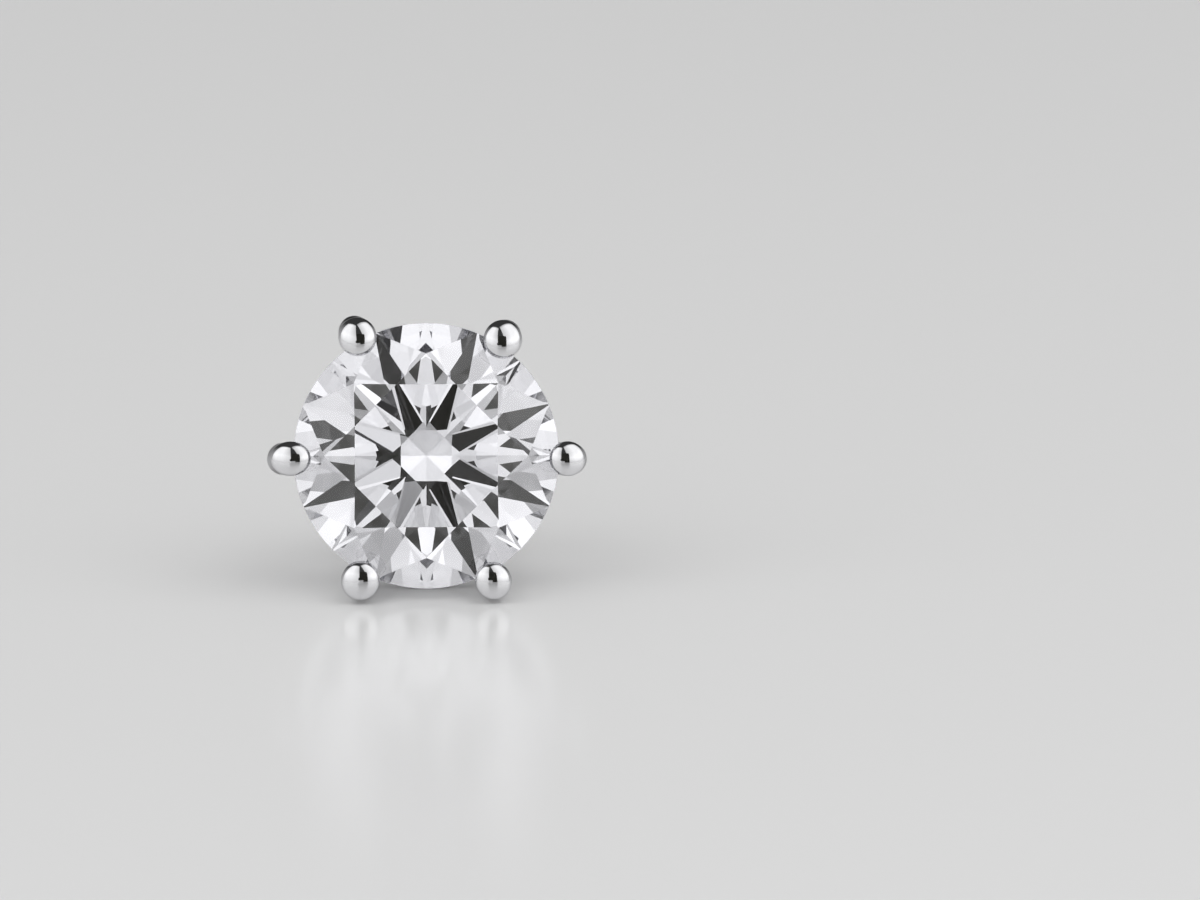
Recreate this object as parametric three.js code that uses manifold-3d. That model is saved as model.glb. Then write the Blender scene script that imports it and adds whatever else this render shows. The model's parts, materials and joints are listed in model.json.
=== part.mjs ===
// One stud earring: a round brilliant held by six round-tipped prongs, on a plain ear post.
// Millimetres, +Z up. The stud lies as it does on a table, on its two lower prongs and the
// end of its post, with the stone facing -Y and a little up.
//
// Every piece is modelled upright in the jewel's own frame and turned as a whole at the end:
// z runs out through the stone's table, with 0 at the middle of the girdle, and y is the
// stone's upper side as it is worn.
import * as THREE from "three";
import { mergeVertices } from "three/addons/utils/BufferGeometryUtils.js";
import Module from "manifold-3d";

const wasm = await Module();
wasm.setup();

// Stone: a one-carat round brilliant. Shares follow the usual way of grading a cut.
const STONE_RADIUS = 3.25;
const TABLE_SHARE = 0.58; // table corner to corner, of the stone's diameter
const STAR_SHARE = 0.5; // reach of a star facet, from the table's edge towards the girdle
const LOWER_HALF_SHARE = 0.78; // reach of a lower half facet, from the girdle towards the culet
const CROWN_ANGLE = THREE.MathUtils.degToRad(34.8);
const PAVILION_ANGLE = THREE.MathUtils.degToRad(40.9);
const GIRDLE_HALF = 0.12; // half the girdle's thickness where the facets' points meet it
const GIRDLE_SIDES = 96;
const FOLDS = 8; // the facet pattern repeats eight times round
const BLANK_HEIGHT = 4 * STONE_RADIUS; // the round blank is taller than the stone ground from it

// Setting: six wires bent round the stone, a gallery rail and a round base.
const PRONG_WIRE = 0.4; // radius of the prong wire
const SHOULDER_REACH = 3.48; // prong wire's centre beside the girdle
const TIP_RISE = 0.6; // height of a tip's rounding, of half its width
const RAIL_REACH = 2.95;
const RAIL_HEIGHT = -1.3;
const RAIL_WIRE = 0.3;
const FOOT_REACH = 1.65; // prong wire's centre where it ends inside the base
const FOOT_HEIGHT = -3.7;
const BASE_RADIUS = 2.1;
const BASE_FRONT = -3.3;
const BASE_BACK = -4.1;
const BASE_EDGE = 0.15; // rounding of the base's rims
const SEAT_GAP = 0.04; // clearance of the stone and of the post in the setting

// Prong tips, anticlockwise from the right as the stone is seen: where the wire stands round
// the stone in degrees, how far the tip's centre lies from the stone's axis, and the tip's
// length along that radius and width across it.
const PRONGS = [
  { angle: -1.4, reach: 3.46, length: 0.88, width: 0.85 },
  { angle: 56.5, reach: 3.41, length: 0.94, width: 0.94 },
  { angle: 119.8, reach: 3.36, length: 0.93, width: 0.93 },
  { angle: 181.0, reach: 3.32, length: 0.98, width: 0.84 },
  { angle: 242.0, reach: 3.45, length: 0.96, width: 0.95 },
  { angle: 298.0, reach: 3.47, length: 0.92, width: 0.89 },
];

// Ear post: a round pin let into the base, with a groove that a friction back grips.
const POST_RADIUS = 0.45;
const POST_SOCKET = 0.5; // depth of the post in the base
const POST_LENGTH = 9.8; // from the base's back to the post's end
const POST_TIP = 0.3; // rounding of the post's end
const GROOVE_FROM_END = 2.2;
const GROOVE_HALF = 0.3;
const GROOVE_DEPTH = 0.06;

const PRONG_SIDES = 14;
const PRONG_STEPS = 18;
const TIP_RINGS = 12;
const ROUND_SIDES = 48;
const POST_SIDES = 24;
const ARC_STEPS = 2; // an arc is drawn with twice as many
const MERGE_DISTANCE = 1e-5;
const HALVINGS = 40;

const diamond = new THREE.MeshStandardMaterial({
  color: 0xf4f6f8,
  roughness: 0.02,
  metalness: 0,
  transparent: true,
  opacity: 0.5,
  flatShading: true,
});
const whiteGold = new THREE.MeshStandardMaterial({ color: 0xd9dadb, roughness: 0.08, metalness: 1 });
const postGold = new THREE.MeshStandardMaterial({ color: 0xcfd0d1, roughness: 0.18, metalness: 1 });

function solidOf(geometry) {
  const bare = geometry.clone();
  bare.deleteAttribute("normal");
  bare.deleteAttribute("uv");
  const merged = mergeVertices(bare, MERGE_DISTANCE);
  return new wasm.Manifold(
    new wasm.Mesh({
      numProp: 3,
      vertProperties: new Float32Array(merged.attributes.position.array),
      triVerts: new Uint32Array(merged.index.array),
    }),
  );
}

function geometryOf(solid) {
  const mesh = solid.getMesh();
  const geometry = new THREE.BufferGeometry();
  geometry.setAttribute("position", new THREE.BufferAttribute(mesh.vertProperties, 3));
  geometry.setIndex(new THREE.BufferAttribute(mesh.triVerts, 1));
  geometry.computeVertexNormals();
  return geometry;
}

// Point at a distance from the stone's axis, a turn round it in radians, and a height.
function polar(reach, turn, height) {
  return new THREE.Vector3(reach * Math.cos(turn), reach * Math.sin(turn), height);
}

// Lathe about the jewel's axis, from a profile of (reach, height) points.
function turned(profile, sides) {
  return new THREE.LatheGeometry(profile, sides).rotateX(Math.PI / 2);
}

// The facet planes of the brilliant, each through three points of the finished stone. Kites
// and pavilion mains stand half a step round from the table's flats, so that a flat is on top.
function facetPlanes() {
  const step = (2 * Math.PI) / FOLDS;
  const half = step / 2;
  const kiteHeight = (reach) => GIRDLE_HALF + (STONE_RADIUS - reach) * Math.tan(CROWN_ANGLE);
  const mainHeight = (reach) => -GIRDLE_HALF - (STONE_RADIUS - reach) * Math.tan(PAVILION_ANGLE);
  const tableCorner = STONE_RADIUS * TABLE_SHARE;
  const tableFlat = tableCorner * Math.cos(half);
  const starTip = tableFlat + STAR_SHARE * (STONE_RADIUS - tableFlat);
  const lowerTip = STONE_RADIUS * (1 - LOWER_HALF_SHARE);
  const tableHeight = kiteHeight(tableCorner);
  const starHeight = kiteHeight(starTip * Math.cos(half));
  const lowerHeight = mainHeight(lowerTip * Math.cos(half));
  const culet = new THREE.Vector3(0, 0, mainHeight(0));

  const facets = [[0, 1, 2].map((k) => polar(tableCorner, half + k * step, tableHeight))];
  for (let k = 0; k < FOLDS; k++) {
    const star = k * step;
    const kite = star + half;
    facets.push([
      polar(tableCorner, kite, tableHeight),
      polar(starTip, star, starHeight),
      polar(starTip, star + step, starHeight),
    ]);
    facets.push([
      polar(tableCorner, kite - step, tableHeight),
      polar(tableCorner, kite, tableHeight),
      polar(starTip, star, starHeight),
    ]);
    facets.push([
      polar(STONE_RADIUS, kite, -GIRDLE_HALF),
      polar(lowerTip, star, lowerHeight),
      culet,
    ]);
    for (const side of [kite - step, kite]) {
      facets.push([
        polar(starTip, star, starHeight),
        polar(STONE_RADIUS, star, GIRDLE_HALF),
        polar(STONE_RADIUS, side, GIRDLE_HALF),
      ]);
      facets.push([
        polar(lowerTip, star, lowerHeight),
        polar(STONE_RADIUS, star, -GIRDLE_HALF),
        polar(STONE_RADIUS, side, -GIRDLE_HALF),
      ]);
    }
  }
  // the middle of the girdle lies inside every facet, which tells a plane's outer side
  return facets.map((points) => {
    const plane = new THREE.Plane().setFromCoplanarPoints(...points);
    return plane.constant > 0 ? plane.negate() : plane;
  });
}

// The brilliant, ground facet by facet from a round blank. The seat in the setting is the same
// stone grown all round by the gap.
function brilliant(grow) {
  const radius = STONE_RADIUS + grow;
  const blank = new THREE.CylinderGeometry(radius, radius, BLANK_HEIGHT, GIRDLE_SIDES).rotateX(Math.PI / 2);
  return facetPlanes().reduce((stone, { normal, constant }) => {
    const inward = normal.clone().negate().toArray();
    return stone.trimByPlane(inward, constant - grow);
  }, solidOf(blank));
}

// One prong: wire from the base, past the rail and the girdle, to a rounded tip bent down on
// the crown.
function prong({ angle, reach, length, width }) {
  const turn = THREE.MathUtils.degToRad(angle);
  const rise = (TIP_RISE * (length + width)) / 4;
  const touch = Math.hypot((length / 2) * Math.sin(CROWN_ANGLE), rise * Math.cos(CROWN_ANGLE));
  const lift = touch + SEAT_GAP - (reach - STONE_RADIUS) * Math.sin(CROWN_ANGLE);
  const tip = polar(reach, turn, GIRDLE_HALF + lift / Math.cos(CROWN_ANGLE));
  const path = new THREE.CatmullRomCurve3([
    polar(FOOT_REACH, turn, FOOT_HEIGHT),
    polar(RAIL_REACH, turn, RAIL_HEIGHT),
    polar(SHOULDER_REACH, turn, 0),
    tip,
  ]);
  const section = new THREE.Shape().absarc(0, 0, PRONG_WIRE, 0, 2 * Math.PI);
  const wire = new THREE.ExtrudeGeometry(section, {
    steps: PRONG_STEPS,
    curveSegments: PRONG_SIDES / 2, // a full circle is drawn with twice as many
    extrudePath: path,
  });
  const bead = new THREE.SphereGeometry(1, PRONG_SIDES, TIP_RINGS)
    .rotateX(Math.PI / 2)
    .scale(length / 2, width / 2, rise)
    .rotateZ(turn)
    .translate(...tip.toArray());
  return solidOf(wire).add(solidOf(bead));
}

function setting() {
  const profile = new THREE.Path()
    .moveTo(0, BASE_BACK + POST_SOCKET)
    .lineTo(POST_RADIUS + SEAT_GAP, BASE_BACK + POST_SOCKET)
    .lineTo(POST_RADIUS + SEAT_GAP, BASE_BACK)
    .lineTo(BASE_RADIUS - BASE_EDGE, BASE_BACK)
    .absarc(BASE_RADIUS - BASE_EDGE, BASE_BACK + BASE_EDGE, BASE_EDGE, -Math.PI / 2, 0)
    .absarc(BASE_RADIUS - BASE_EDGE, BASE_FRONT - BASE_EDGE, BASE_EDGE, 0, Math.PI / 2)
    .lineTo(0, BASE_FRONT);
  const base = solidOf(turned(profile.getPoints(ARC_STEPS), ROUND_SIDES));
  const rail = new THREE.TorusGeometry(RAIL_REACH, RAIL_WIRE, PRONG_SIDES, ROUND_SIDES)
    .translate(0, 0, RAIL_HEIGHT);
  const metal = PRONGS.map(prong).reduce((all, one) => all.add(one), base.add(solidOf(rail)));
  return metal.subtract(brilliant(SEAT_GAP));
}

function earPost() {
  const front = BASE_BACK + POST_SOCKET - SEAT_GAP;
  const end = BASE_BACK - POST_LENGTH;
  const groove = end + GROOVE_FROM_END;
  const profile = new THREE.Path()
    .moveTo(0, end)
    .lineTo(POST_RADIUS - POST_TIP, end)
    .absarc(POST_RADIUS - POST_TIP, end + POST_TIP, POST_TIP, -Math.PI / 2, 0)
    .lineTo(POST_RADIUS, groove - GROOVE_HALF)
    .lineTo(POST_RADIUS - GROOVE_DEPTH, groove)
    .lineTo(POST_RADIUS, groove + GROOVE_HALF)
    .lineTo(POST_RADIUS, front)
    .lineTo(0, front);
  return turned(profile.getPoints(ARC_STEPS), POST_SIDES);
}

// Height of a piece's lowest point above the jewel's axis when the stone's face is tipped up.
function lowest(geometry, tilt) {
  const { array } = geometry.attributes.position;
  let low = Infinity;
  for (let i = 0; i < array.length; i += 3) {
    low = Math.min(low, array[i + 1] * Math.cos(tilt) + array[i + 2] * Math.sin(tilt));
  }
  return low;
}

// The tilt at which prongs and post touch the table together, found by halving the range.
function restingTilt(prongs, post) {
  let flat = 0;
  let steep = Math.PI / 4;
  for (let i = 0; i < HALVINGS; i++) {
    const middle = (flat + steep) / 2;
    if (lowest(prongs, middle) < lowest(post, middle)) flat = middle;
    else steep = middle;
  }
  return (flat + steep) / 2;
}

function piece(name, geometry, material) {
  const mesh = new THREE.Mesh(geometry, material);
  mesh.name = name;
  return mesh;
}

const jewel = new THREE.Group();
const settingGeometry = geometryOf(setting());
const postGeometry = earPost();
jewel.add(piece("stone", geometryOf(brilliant(0)), diamond));
jewel.add(piece("setting", settingGeometry, whiteGold));
jewel.add(piece("ear_post", postGeometry, postGold));
jewel.rotation.x = Math.PI / 2 - restingTilt(settingGeometry, postGeometry);

// The stud's own reference point is the middle of its box, on the table that it lies on.
const stud = new THREE.Group();
stud.add(jewel);
const box = new THREE.Box3().setFromObject(stud, true);
const middle = box.getCenter(new THREE.Vector3());
jewel.position.set(-middle.x, -middle.y, -box.min.z);

export default stud;
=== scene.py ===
import json
import math

import bpy
from mathutils import Euler, Matrix, Vector, geometry


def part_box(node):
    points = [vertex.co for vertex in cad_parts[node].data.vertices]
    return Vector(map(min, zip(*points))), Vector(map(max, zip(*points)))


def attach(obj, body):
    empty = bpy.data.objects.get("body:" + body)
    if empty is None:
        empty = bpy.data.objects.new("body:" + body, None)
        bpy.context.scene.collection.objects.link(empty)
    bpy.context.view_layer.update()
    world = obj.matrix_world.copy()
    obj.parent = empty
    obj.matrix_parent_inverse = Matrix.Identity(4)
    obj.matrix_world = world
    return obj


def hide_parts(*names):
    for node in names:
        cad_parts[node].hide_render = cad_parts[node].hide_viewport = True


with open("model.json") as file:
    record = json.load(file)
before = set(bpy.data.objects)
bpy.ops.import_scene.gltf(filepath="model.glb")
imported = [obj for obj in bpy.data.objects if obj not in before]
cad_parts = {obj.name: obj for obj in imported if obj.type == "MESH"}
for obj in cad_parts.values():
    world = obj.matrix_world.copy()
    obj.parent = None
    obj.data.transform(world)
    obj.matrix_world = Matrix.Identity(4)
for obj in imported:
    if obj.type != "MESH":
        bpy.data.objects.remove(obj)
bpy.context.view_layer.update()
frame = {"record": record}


# Stone
# A colourless round brilliant of about one carat: diamond, ground on a lap facet by facet from
# a round blank and polished. The prongs hold it by the girdle round its edge, which alone keeps
# the fine matt of the grinding. The sizes of all pieces are in millimetres.
STONE_RADIUS = 3.25
TABLE_SHARE = 0.58
STAR_SHARE = 0.5
LOWER_HALF_SHARE = 0.78
CROWN_ANGLE = math.radians(34.8)
PAVILION_ANGLE = math.radians(40.9)
FOLDS = 8
GIRDLE_HALF = 0.12
GIRDLE_SIDES = 192
GIRDLE_SKIN = 0.01
BLANK_DEPTH = 4 * STONE_RADIUS
CUT_TOLERANCE = 1e-5
FACET_EDGE = math.radians(3)
BRUTED_GRAIN = 0.05
BRUTED_SMOOTH = 0.2
BRUTED_ROUGH = 0.5
DIAMOND = "#e1e1e5"
DIAMOND_IOR = 2.417
FACET_GLARE = "#9a9a9a"
MM = 0.001


def polar(reach, turn, height):
    return Vector((reach * math.cos(turn), reach * math.sin(turn), height))


def crown_height(reach):
    return GIRDLE_HALF + (STONE_RADIUS - reach) * math.tan(CROWN_ANGLE)


def pavilion_height(reach):
    return -GIRDLE_HALF - (STONE_RADIUS - reach) * math.tan(PAVILION_ANGLE)


# Three corners of every facet, in millimetres. The table looks along z, the middle of the girdle
# is at 0, and kites and pavilion mains stand half a step round from the table's flats.
def facets():
    step = math.radians(360) / FOLDS
    half = step / 2
    table_corner = STONE_RADIUS * TABLE_SHARE
    table_flat = table_corner * math.cos(half)
    star_tip = table_flat + STAR_SHARE * (STONE_RADIUS - table_flat)
    lower_tip = STONE_RADIUS * (1 - LOWER_HALF_SHARE)
    table_height = crown_height(table_corner)
    star_height = crown_height(star_tip * math.cos(half))
    lower_height = pavilion_height(lower_tip * math.cos(half))
    culet = Vector((0, 0, pavilion_height(0)))
    yield [polar(table_corner, half + k * step, table_height) for k in range(3)]
    for k in range(FOLDS):
        star = k * step
        star_point = polar(star_tip, star, star_height)
        lower_point = polar(lower_tip, star, lower_height)
        left = polar(table_corner, star + half, table_height)
        right = polar(table_corner, star - half, table_height)
        yield [left, star_point, polar(star_tip, star + step, star_height)]
        yield [right, left, star_point]
        yield [polar(STONE_RADIUS, star + half, -GIRDLE_HALF), lower_point, culet]
        for side in (star - half, star + half):
            for height, tip in ((GIRDLE_HALF, star_point), (-GIRDLE_HALF, lower_point)):
                yield [tip, polar(STONE_RADIUS, star, height), polar(STONE_RADIUS, side, height)]


# Grinds a brilliant out of a round blank, grown all round where it is the seat cut for the stone.
def brilliant(grow):
    bpy.ops.object.select_all(action="DESELECT")
    bpy.ops.mesh.primitive_cylinder_add(
        vertices=GIRDLE_SIDES, radius=STONE_RADIUS + grow, depth=BLANK_DEPTH
    )
    bpy.ops.object.mode_set(mode="EDIT")
    for corners in facets():
        outward = geometry.normal(corners)
        if outward.dot(corners[0]) < 0:
            outward.negate()
        bpy.ops.mesh.select_all(action="SELECT")
        bpy.ops.mesh.bisect(
            plane_co=corners[0] + grow * outward,
            plane_no=outward,
            use_fill=True,
            clear_outer=True,
            threshold=CUT_TOLERANCE,
        )
    bpy.ops.object.mode_set(mode="OBJECT")
    return bpy.context.object


# The stud lies on two prongs and the end of its post, so its stone looks a little upwards. Its
# place comes from the CAD stone: the girdle is centred in the box, and the culet is its hindmost
# point.
facing = -Vector(frame["record"]["mounts"][0]["axis"])
tilt = math.asin(facing.z)
stone_low, stone_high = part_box("stone")
girdle_middle = (stone_low + stone_high) / 2
girdle_middle.y = stone_high.y + pavilion_height(0) * MM * math.cos(tilt)
upright = Euler((math.radians(90) - tilt, 0, 0))
jewel_place = Matrix.LocRotScale(girdle_middle, upright, Vector((MM, MM, MM)))


# Puts a piece that was modelled in millimetres in its place, for the CAD solid of that name.
def set_piece(piece, name, edge_angle, material):
    piece.name = name + "_finished"
    piece.data.name = piece.name
    piece.matrix_world = jewel_place
    bpy.ops.object.select_all(action="DESELECT")
    piece.select_set(True)
    bpy.context.view_layer.objects.active = piece
    bpy.ops.object.transform_apply(location=True, rotation=True, scale=True)
    bpy.ops.object.shade_smooth_by_angle(angle=edge_angle)
    piece.data.materials.clear()
    piece.data.materials.append(material)
    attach(piece, "root")
    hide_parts(name)


# An sRGB colour in hex, as linear light.
def linear(colour):
    channels = [int(colour[i : i + 2], 16) / 255 for i in (1, 3, 5)]
    return [c / 12.92 if c <= 0.04045 else ((c + 0.055) / 1.055) ** 2.4 for c in channels] + [1]


# Adds a node to a material, light or world. An input that is given a socket of another node is
# linked to it, any other input is set, and the settings go to the node itself.
def add_node(owner, kind, inputs=None, **settings):
    node = owner.node_tree.nodes.new(kind)
    for name, value in settings.items():
        setattr(node, name, value)
    for name, value in (inputs or {}).items():
        if isinstance(value, bpy.types.NodeSocket):
            owner.node_tree.links.new(value, node.inputs[name])
        else:
            node.inputs[name].default_value = value
    return node


def new_material(name):
    material = bpy.data.materials.new(name)
    material.use_nodes = True
    material.node_tree.nodes.clear()
    return material


# Coordinates in the jewel's own frame, in millimetres, from those of the finished mesh.
def jewel_coordinates(material):
    place = add_node(material, "ShaderNodeTexCoord")
    return add_node(
        material,
        "ShaderNodeMapping",
        {
            "Vector": place.outputs["Object"],
            "Location": girdle_middle,
            "Rotation": upright,
            "Scale": (MM, MM, MM),
        },
        vector_type="TEXTURE",
    ).outputs["Vector"]


# Polished diamond: clear, with mirror-sharp facets that throw back most of the light that enters
# through the table. The glare off its surface is weak, as through a polarising filter, so that the
# facets behind it show deep and dark. The bruted girdle is a thin frosted line; its grain is drawn
# coarser than the real one, which is too fine to show.
diamond = new_material("polished diamond")
spot = jewel_coordinates(diamond)
axes = add_node(diamond, "ShaderNodeSeparateXYZ", {"Vector": spot})
flat = add_node(
    diamond, "ShaderNodeCombineXYZ", {"X": axes.outputs["X"], "Y": axes.outputs["Y"]}
)
reach = add_node(
    diamond, "ShaderNodeVectorMath", {0: flat.outputs["Vector"]}, operation="LENGTH"
)
on_girdle = add_node(
    diamond,
    "ShaderNodeMath",
    {0: reach.outputs["Value"], 1: STONE_RADIUS - GIRDLE_SKIN},
    operation="GREATER_THAN",
)
grain = add_node(
    diamond, "ShaderNodeTexNoise", {"Vector": spot, "Scale": 1 / BRUTED_GRAIN, "Detail": 2}
)
matt = add_node(
    diamond,
    "ShaderNodeMapRange",
    {"Value": grain.outputs["Fac"], "To Min": BRUTED_SMOOTH, "To Max": BRUTED_ROUGH},
)
bruted = add_node(
    diamond,
    "ShaderNodeMath",
    {0: on_girdle.outputs["Value"], 1: matt.outputs["Result"]},
    operation="MULTIPLY",
)
gem = add_node(
    diamond,
    "ShaderNodeBsdfPrincipled",
    {
        "Base Color": linear(DIAMOND),
        "Roughness": bruted.outputs["Value"],
        "IOR": DIAMOND_IOR,
        "Specular Tint": linear(FACET_GLARE),
        "Transmission Weight": 1,
    },
)
add_node(diamond, "ShaderNodeOutputMaterial", {"Surface": gem.outputs["BSDF"]})

# The clear stone lets light through to the floor, so it throws no shadow of its own.
stone = brilliant(0)
set_piece(stone, "stone", FACET_EDGE, diamond)
stone.visible_shadow = False


# Setting
# A basket of six white-gold wires, bent round the stone and notched for its girdle, with a rail
# between them and a round base behind. All are soldered, polished to a mirror and rhodium-plated.
# The setter has rounded each tip by hand, so no two tips are quite the same.
PRONG_WIRE = 0.4
SHOULDER_REACH = 3.48
TIP_RISE = 0.6
TIP_LEAN = 0.09
DOME_SHARE = 0.8
DOME_POINT = 0.01
RAIL_REACH = 2.95
RAIL_HEIGHT = -1.3
RAIL_WIRE = 0.3
FOOT_REACH = 1.58
FOOT_HEIGHT = -3.7
NECK = 0.2
BASE_RADIUS = 2.1
BASE_FRONT = -3.3
BASE_BACK = -4.1
BASE_EDGE = 0.15
SEAT_GAP = 0.04
POST_RADIUS = 0.45
POST_SOCKET = 0.5
PRONG_SIDES = 72
SPAN_STEPS = 12
DOME_STEPS = 16
RAIL_SIDES = 144
RAIL_WIRE_SIDES = 32
BASE_SIDES = 192
BASE_EDGE_STEPS = 8
LEVEL = 0.999
METAL_EDGE = math.radians(35)
POLISH_WAVE = 0.7
WAVE_DEPTH = 0.1
WAVE_STRENGTH = 0.04
MIRROR_CLEAR = 0.03
MIRROR_HAZY = 0.08
WHITE_GOLD = "#d8d8da"
GLANCING_TONE = "#b0b0b0"

# Where each prong stands round the stone in degrees, how far its tip's centre lies from the
# stone's axis, and the tip's length along that radius and width across it.
PRONG_TIPS = [
    (-1.4, 3.46, 0.88, 0.85),
    (56.5, 3.41, 0.94, 0.94),
    (119.8, 3.36, 0.93, 0.93),
    (181.0, 3.32, 0.98, 0.84),
    (242.0, 3.45, 0.96, 0.95),
    (298.0, 3.47, 0.92, 0.89),
]


# Centres along a wire that bends smoothly through the given points. Each span is a Bezier curve,
# with handles of a sixth of the way between the points before and after.
def bent_through(points):
    ends = [2 * points[0] - points[1], *points, 2 * points[-1] - points[-2]]
    pulls = [(after - before) / 6 for before, after in zip(ends, ends[2:])]
    centres = [points[0]]
    for here, there, pull, push in zip(points, points[1:], pulls, pulls[1:]):
        centres += geometry.interpolate_bezier(
            here, here + pull, there - push, there, SPAN_STEPS + 1
        )[1:]
    return centres


# A closed skin over level rings, each with its reach, height, half length and half width. The
# last ring is drawn together to a point.
def draw_out(rings, sides):
    bpy.ops.object.select_all(action="DESELECT")
    bpy.ops.mesh.primitive_circle_add(vertices=sides, radius=1, fill_type="NOTHING")
    bpy.ops.object.mode_set(mode="EDIT")
    bpy.ops.mesh.select_mode(type="VERT")
    reach, height, length, width = rings[0]
    bpy.ops.transform.resize(value=(length, width, 1), center_override=(0, 0, 0))
    bpy.ops.transform.translate(value=(reach, 0, height))
    for before, ring in zip(rings, rings[1:]):
        rise = (ring[0] - before[0], 0, ring[1] - before[1])
        swell = (ring[2] / before[2], ring[3] / before[3], 1)
        bpy.ops.mesh.extrude_region_move(TRANSFORM_OT_translate={"value": rise})
        bpy.ops.transform.resize(value=swell, center_override=(ring[0], 0, ring[1]))
    bpy.ops.mesh.merge(type="CENTER")
    bpy.ops.mesh.select_all(action="DESELECT")
    bpy.ops.mesh.select_non_manifold()
    bpy.ops.mesh.edge_face_add()
    bpy.ops.mesh.select_all(action="SELECT")
    bpy.ops.mesh.normals_make_consistent(inside=False)
    bpy.ops.object.mode_set(mode="OBJECT")
    return bpy.context.object


# One prong, drawn along x and turned to its place: wire from the base past the rail and the
# girdle, swelling to a tip that just clears the crown. A low dome ends it, leaning over the stone.
def prong(angle, reach, length, width):
    tip_rise = TIP_RISE * (length + width) / 4
    touch = math.hypot(length / 2 * math.sin(CROWN_ANGLE), tip_rise * math.cos(CROWN_ANGLE))
    lift = touch + SEAT_GAP - (reach - STONE_RADIUS) * math.sin(CROWN_ANGLE)
    tip_height = GIRDLE_HALF + lift / math.cos(CROWN_ANGLE)
    centres = bent_through(
        [
            Vector((FOOT_REACH, FOOT_HEIGHT)),
            Vector((RAIL_REACH, RAIL_HEIGHT)),
            Vector((SHOULDER_REACH, 0)),
            Vector((reach, tip_height)),
        ]
    )
    rings = []
    for before, centre in zip([2 * centres[0] - centres[1], *centres], centres):
        run = centre - before
        stretch = run.length / run.y
        swell = max(0, 1 - (tip_height - centre.y) / NECK)
        swell = swell * swell * (3 - 2 * swell)
        half_length = PRONG_WIRE * stretch * (1 - swell) + length / 2 * swell
        half_width = PRONG_WIRE * (1 - swell) + width / 2 * swell
        rings.append((centre.x, centre.y, half_length, half_width))
    for k in range(1, DOME_STEPS + 1):
        rise = math.radians(90) * k / DOME_STEPS
        shrink = max(math.cos(rise), DOME_POINT)
        rings.append(
            (
                reach - TIP_LEAN * math.sin(rise),
                tip_height + DOME_SHARE * tip_rise * math.sin(rise),
                length / 2 * shrink,
                width / 2 * shrink,
            )
        )
    wire = draw_out(rings, PRONG_SIDES)
    wire.rotation_euler.z = math.radians(angle)
    bpy.ops.object.transform_apply(location=True, rotation=True, scale=True)
    return wire


# Solders a part to the metal, or cuts the part's shape out of it.
def solder(metal, part, operation="UNION"):
    joint = metal.modifiers.new("joint", "BOOLEAN")
    joint.operation = operation
    joint.solver = "MANIFOLD"
    joint.object = part
    bpy.context.view_layer.objects.active = metal
    bpy.ops.object.modifier_apply(modifier=joint.name)
    bpy.data.objects.remove(part)


# The base is a turned disc with rounded rims and a socket for the post.
bpy.ops.object.select_all(action="DESELECT")
bpy.ops.mesh.primitive_cylinder_add(
    vertices=BASE_SIDES,
    radius=BASE_RADIUS,
    depth=BASE_FRONT - BASE_BACK,
    location=(0, 0, (BASE_FRONT + BASE_BACK) / 2),
)
bpy.ops.object.transform_apply(location=True, rotation=True, scale=True)
setting = bpy.context.object
bpy.ops.object.mode_set(mode="EDIT")
bpy.ops.mesh.select_mode(type="FACE")
bpy.ops.mesh.select_all(action="DESELECT")
bpy.ops.object.mode_set(mode="OBJECT")
for face in setting.data.polygons:
    face.select = abs(face.normal.z) > LEVEL
bpy.ops.object.mode_set(mode="EDIT")
bpy.ops.mesh.bevel(offset=BASE_EDGE, segments=BASE_EDGE_STEPS, affect="EDGES")
bpy.ops.mesh.select_all(action="DESELECT")
bpy.ops.object.mode_set(mode="OBJECT")
for face in setting.data.polygons:
    face.select = face.normal.z < -LEVEL
bpy.ops.object.mode_set(mode="EDIT")
bpy.ops.mesh.inset(thickness=BASE_RADIUS - BASE_EDGE - POST_RADIUS - SEAT_GAP)
bpy.ops.mesh.extrude_region_move(TRANSFORM_OT_translate={"value": (0, 0, POST_SOCKET)})
bpy.ops.object.mode_set(mode="OBJECT")

bpy.ops.mesh.primitive_torus_add(
    major_radius=RAIL_REACH,
    minor_radius=RAIL_WIRE,
    major_segments=RAIL_SIDES,
    minor_segments=RAIL_WIRE_SIDES,
    location=(0, 0, RAIL_HEIGHT),
)
solder(setting, bpy.context.object)
for tip in PRONG_TIPS:
    solder(setting, prong(*tip))
solder(setting, brilliant(SEAT_GAP), "DIFFERENCE")

# Rhodium-plated white gold: a cool white mirror, a little darker towards its rims. Hand polishing
# leaves its surface very slightly wavy, so that edges in its reflections are not ruled straight,
# and a trace hazy in places.
plated = new_material("rhodium-plated white gold")
spot = jewel_coordinates(plated)
wave = add_node(
    plated, "ShaderNodeTexNoise", {"Vector": spot, "Scale": 1 / POLISH_WAVE, "Detail": 1}
)
wavy = add_node(
    plated,
    "ShaderNodeBump",
    {"Height": wave.outputs["Fac"], "Strength": WAVE_STRENGTH, "Distance": WAVE_DEPTH * MM},
)
haze = add_node(
    plated,
    "ShaderNodeMapRange",
    {"Value": wave.outputs["Fac"], "To Min": MIRROR_CLEAR, "To Max": MIRROR_HAZY},
)
metal = add_node(
    plated,
    "ShaderNodeBsdfPrincipled",
    {
        "Base Color": linear(WHITE_GOLD),
        "Metallic": 1,
        "Specular Tint": linear(GLANCING_TONE),
        "Roughness": haze.outputs["Result"],
        "Normal": wavy.outputs["Normal"],
    },
)
add_node(plated, "ShaderNodeOutputMaterial", {"Surface": metal.outputs["BSDF"]})
set_piece(setting, "setting", METAL_EDGE, plated)


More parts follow.
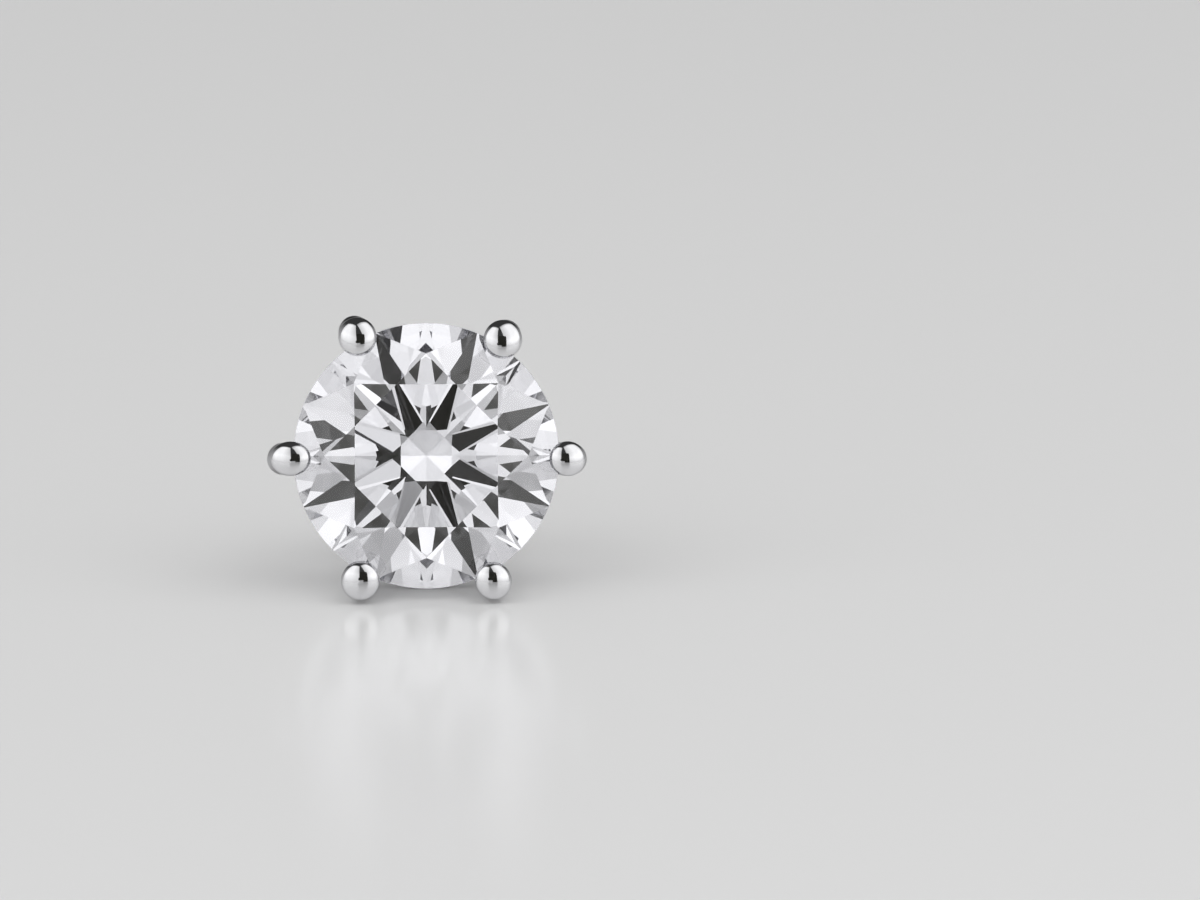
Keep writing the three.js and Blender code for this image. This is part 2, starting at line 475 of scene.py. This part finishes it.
# Ear post
# A pin of hard-drawn white-gold wire, let into the base from behind and soldered, which leaves a
# small fillet round its foot. Its end is rounded to pass through the ear, and a shallow groove near
# it holds the friction back.
POST_LENGTH = 9.8
POST_TIP = 0.3
SOLDER_FILLET = 0.25
SOLDER_BITE = 0.005
SOLDER_STEPS = 8
POST_SIDES = 48
GROOVE_FROM_END = 2.2
GROOVE_HALF = 0.3
GROOVE_DEPTH = 0.06
GROOVE_STEPS = 8
TIP_STEPS = 8
DRAWN_LINE = 0.06
DRAWN_RUN = 6
DRAWN_DEPTH = 0.02
DRAWN_STRENGTH = 0.4
DRAWN_SMOOTH = 0.08
DRAWN_ROUGH = 0.32
POST_GOLD = "#d4d4d6"

post_front = BASE_BACK + POST_SOCKET - SEAT_GAP
post_end = BASE_BACK - POST_LENGTH
groove = post_end + GROOVE_FROM_END
solder_rim = BASE_BACK + SOLDER_BITE
profile = [(POST_RADIUS, post_front), (POST_RADIUS, solder_rim)]
for k in range(SOLDER_STEPS + 1):
    turn = math.radians(90) * k / SOLDER_STEPS
    profile.append(
        (
            POST_RADIUS + SOLDER_FILLET * (1 - math.sin(turn)),
            solder_rim - SOLDER_FILLET * (1 - math.cos(turn)),
        )
    )
for k in range(GROOVE_STEPS + 1):
    along = math.radians(360) * k / GROOVE_STEPS
    dip = GROOVE_DEPTH * (1 - math.cos(along)) / 2
    profile.append((POST_RADIUS - dip, groove + GROOVE_HALF * (1 - 2 * k / GROOVE_STEPS)))
for k in range(TIP_STEPS + 1):
    turn = math.radians(90) * k / TIP_STEPS
    profile.append(
        (
            POST_RADIUS - POST_TIP * (1 - math.cos(turn)),
            post_end + POST_TIP * (1 - math.sin(turn)),
        )
    )
# The last ring is given twice, because the second is drawn together to close the end.
profile.append(profile[-1])
post = draw_out([(0, height, radius, radius) for radius, height in profile], POST_SIDES)

# Drawn white gold: as bright as the setting but less of a mirror, with fine lines from the draw
# plate along its length. They are drawn coarser than the real ones, which are too fine to show.
drawn = new_material("drawn white gold wire")
spot = jewel_coordinates(drawn)
lengthwise = add_node(
    drawn,
    "ShaderNodeMapping",
    {"Vector": spot, "Scale": (1 / DRAWN_LINE, 1 / DRAWN_LINE, 1 / DRAWN_RUN)},
)
lines = add_node(
    drawn, "ShaderNodeTexNoise", {"Vector": lengthwise.outputs["Vector"], "Scale": 1, "Detail": 3}
)
scored = add_node(
    drawn,
    "ShaderNodeBump",
    {"Height": lines.outputs["Fac"], "Strength": DRAWN_STRENGTH, "Distance": DRAWN_DEPTH * MM},
)
sheen = add_node(
    drawn,
    "ShaderNodeMapRange",
    {"Value": lines.outputs["Fac"], "To Min": DRAWN_SMOOTH, "To Max": DRAWN_ROUGH},
)
metal = add_node(
    drawn,
    "ShaderNodeBsdfPrincipled",
    {
        "Base Color": linear(POST_GOLD),
        "Metallic": 1,
        "Roughness": sheen.outputs["Result"],
        "Normal": scored.outputs["Normal"],
    },
)
add_node(drawn, "ShaderNodeOutputMaterial", {"Surface": metal.outputs["BSDF"]})
set_piece(post, "ear_post", METAL_EDGE, drawn)


# Floor
# A wide pale sheet with a soft sheen, in which the stud shows as a faint blurred reflection. From
# here on sizes are in metres.
FLOOR_HALF = 1.2
FLOOR_GREY = "#ececec"
FLOOR_ROUGHNESS = 0.18
FLOOR_IOR = 1.45

bpy.ops.object.select_all(action="DESELECT")
bpy.ops.mesh.primitive_plane_add(size=2 * FLOOR_HALF)
floor = bpy.context.object
floor.name = "floor"
sheet = new_material("satin acrylic sheet")
satin = add_node(
    sheet,
    "ShaderNodeBsdfPrincipled",
    {"Base Color": linear(FLOOR_GREY), "Roughness": FLOOR_ROUGHNESS, "IOR": FLOOR_IOR},
)
add_node(sheet, "ShaderNodeOutputMaterial", {"Surface": satin.outputs["BSDF"]})
floor.data.materials.append(sheet)


# Lights
# Two softboxes stand on the floor, in front to the left and right. Each is dimmer along its sides
# and towards both ends, and the right one fills in without a shadow. The dark room shows in the gap
# between them, with the black camera and its stand low down in it, and so draws the dark lines in
# the stone and in the prongs. A third softbox overhead lights the floor.
SOFTBOX_FOOT = 0.31
SOFTBOX_RADIANCE = 1.3
SOFTBOX_SIDE_FADE = 0.42
SOFTBOX_END_FADE = 0.65
SIDE_FADE_START = 0.15
END_FADE_START = 0.3
SOFTBOX_EDGE = 0.5
OVERHEAD_HEIGHT = 0.5
OVERHEAD_BACK = 0.1
OVERHEAD_WIDE = 1.2
OVERHEAD_RADIANCE = 0.65
CAMERA_BLACK = "#24231d"
CAMERA_ROUGHNESS = 0.9

# Each softbox's turn from the front and lean towards the stud, in degrees, its width and height,
# and whether it throws shadows.
SOFTBOXES = [
    ("softbox_left", -47.3, -7.6, 0.512, 0.75, True),
    ("softbox_right", 49.2, 25.9, 0.383, 0.46, False),
]

# Where the camera, its tripod head and its stand begin and end across the gap, and their lower and
# upper edges.
DARK_CARDS = [
    ("dark_camera", -0.042, 0.083, 0.058, 0.163),
    ("dark_tripod", -0.053, 0.083, 0.022, 0.058),
    ("dark_stand", 0.012, 0.083, 0, 0.022),
]
DARK_CARD_DISTANCE = 0.27


# A softbox with its middle at the place given. Away points out of its back, and the fades are how
# much less bright it is along its sides and its ends than in its middle. Places on its face run
# from 0 to 1 both ways.
def softbox(name, place, away, wide, tall, radiance, side_fade, end_fade):
    bpy.ops.object.light_add(type="AREA")
    light = bpy.context.object
    light.name = name
    light.data.shape = "RECTANGLE"
    light.data.size = wide
    light.data.size_y = tall
    light.data.energy = radiance * math.pi * wide * tall
    light.location = place
    light.rotation_euler = away.to_track_quat("Z", "Y").to_euler()
    light.visible_camera = False
    light.data.use_nodes = True
    light.data.node_tree.nodes.clear()
    face = add_node(light.data, "ShaderNodeNewGeometry")
    offset = add_node(
        light.data,
        "ShaderNodeVectorMath",
        {0: face.outputs["Parametric"], 1: (SOFTBOX_EDGE, SOFTBOX_EDGE, 0)},
        operation="SUBTRACT",
    )
    off_middle = add_node(
        light.data, "ShaderNodeVectorMath", {0: offset.outputs["Vector"]}, operation="ABSOLUTE"
    )
    axes = add_node(light.data, "ShaderNodeSeparateXYZ", {"Vector": off_middle.outputs["Vector"]})
    glows = [
        add_node(
            light.data,
            "ShaderNodeMapRange",
            {
                "Value": axes.outputs[axis],
                "From Min": start,
                "From Max": SOFTBOX_EDGE,
                "To Min": 1,
                "To Max": 1 - fade,
            },
        ).outputs["Result"]
        for axis, start, fade in (
            ("X", SIDE_FADE_START, side_fade),
            ("Y", END_FADE_START, end_fade),
        )
    ]
    glow = add_node(
        light.data, "ShaderNodeMath", {0: glows[0], 1: glows[1]}, operation="MULTIPLY"
    )
    lamp = add_node(light.data, "ShaderNodeEmission", {"Strength": glow.outputs["Value"]})
    add_node(light.data, "ShaderNodeOutputLight", {"Surface": lamp.outputs["Emission"]})
    return light


on_floor = Vector((girdle_middle.x, girdle_middle.y, 0))
up = Vector((0, 0, 1))
for name, turn, lean, wide, tall, shadow in SOFTBOXES:
    turn = math.radians(turn)
    lean = math.radians(lean)
    out = Vector((math.sin(turn), -math.cos(turn), 0))
    rising = math.cos(lean) * up - math.sin(lean) * out
    away = math.cos(lean) * out + math.sin(lean) * up
    middle = on_floor + SOFTBOX_FOOT * out + tall / 2 * rising
    light = softbox(
        name, middle, away, wide, tall, SOFTBOX_RADIANCE, SOFTBOX_SIDE_FADE, SOFTBOX_END_FADE
    )
    light.data.use_shadow = shadow
overhead = softbox(
    "softbox_overhead",
    on_floor + Vector((0, OVERHEAD_BACK, OVERHEAD_HEIGHT)),
    up,
    OVERHEAD_WIDE,
    OVERHEAD_WIDE,
    OVERHEAD_RADIANCE,
    side_fade=0,
    end_fade=0,
)
overhead.visible_glossy = False
overhead.visible_transmission = False

black = new_material("black enamel")
enamel = add_node(
    black,
    "ShaderNodeBsdfPrincipled",
    {"Base Color": linear(CAMERA_BLACK), "Roughness": CAMERA_ROUGHNESS},
)
add_node(black, "ShaderNodeOutputMaterial", {"Surface": enamel.outputs["BSDF"]})
for name, left, right, low, high in DARK_CARDS:
    bpy.ops.object.select_all(action="DESELECT")
    bpy.ops.mesh.primitive_plane_add(size=1)
    card = bpy.context.object
    card.name = name
    card.scale = (right - left, high - low, 1)
    card.rotation_euler.x = math.radians(90)
    card.location = on_floor + Vector(
        ((left + right) / 2, -DARK_CARD_DISTANCE, (low + high) / 2)
    )
    bpy.ops.object.transform_apply(location=True, rotation=True, scale=True)
    card.visible_camera = False
    card.visible_shadow = False
    card.data.materials.append(black)

# The room is pale at the height of the floor and has pale walls on both sides. Its front, its back
# and its ceiling are dark. Sideways and upward are shares of a direction.
WALL_FROM_SIDEWAYS = 0.6
WALL_FULL_SIDEWAYS = 0.9
WALL_RADIANCE = 0.3
DARK_RADIANCE = 0.05
PALE_RADIANCE = 0.5
PALE_TO_UPWARD = 0.03
PALE_GONE_UPWARD = 0.55

room = bpy.data.worlds.new("studio room")
bpy.context.scene.world = room
room.use_nodes = True
room.node_tree.nodes.clear()
direction = add_node(room, "ShaderNodeTexCoord")
sides = add_node(
    room, "ShaderNodeVectorMath", {0: direction.outputs["Generated"]}, operation="ABSOLUTE"
)
axes = add_node(room, "ShaderNodeSeparateXYZ", {"Vector": sides.outputs["Vector"]})
walls = add_node(
    room,
    "ShaderNodeMapRange",
    {
        "Value": axes.outputs["X"],
        "From Min": WALL_FROM_SIDEWAYS,
        "From Max": WALL_FULL_SIDEWAYS,
        "To Min": DARK_RADIANCE,
        "To Max": WALL_RADIANCE,
    },
    interpolation_type="SMOOTHSTEP",
)
shade = add_node(
    room,
    "ShaderNodeMapRange",
    {
        "Value": axes.outputs["Z"],
        "From Min": PALE_TO_UPWARD,
        "From Max": PALE_GONE_UPWARD,
        "To Min": PALE_RADIANCE,
        "To Max": walls.outputs["Result"],
    },
    interpolation_type="SMOOTHSTEP",
)
sky = add_node(
    room,
    "ShaderNodeBackground",
    {"Color": linear("#ffffff"), "Strength": shade.outputs["Result"]},
)
add_node(room, "ShaderNodeOutputWorld", {"Surface": sky.outputs["Background"]})


# Camera
# A long lens that looks straight at the stone's table, so a little down at the floor. The stud
# stands left of the middle of the picture. Light is followed through many bounces, because it runs
# to and fro in the stone.
CAMERA_DISTANCE = 0.25
CAMERA_NEAR = 0.01
CAMERA_FAR = 5
SENSOR_WIDE = 36
PICTURE_WIDE = 29.376 * MM
AIM_RIGHT = 4.253 * MM
AIM_UP = 0.124 * MM
MOST_BOUNCES = 32
STONE_BOUNCES = 24

stone_up = Vector((0, facing.z, -facing.y))
aim = girdle_middle + AIM_RIGHT * Vector((1, 0, 0)) + AIM_UP * stone_up
bpy.ops.object.camera_add()
camera = bpy.context.object
camera.location = girdle_middle + CAMERA_DISTANCE * facing
camera.rotation_euler = (camera.location - aim).to_track_quat("Z", "Y").to_euler()
camera.data.sensor_width = SENSOR_WIDE
camera.data.lens = SENSOR_WIDE * CAMERA_DISTANCE / PICTURE_WIDE
camera.data.clip_start = CAMERA_NEAR
camera.data.clip_end = CAMERA_FAR
scene = bpy.context.scene
scene.camera = camera
scene.view_settings.view_transform = "Standard"
scene.cycles.max_bounces = MOST_BOUNCES
scene.cycles.glossy_bounces = STONE_BOUNCES
scene.cycles.transmission_bounces = STONE_BOUNCES
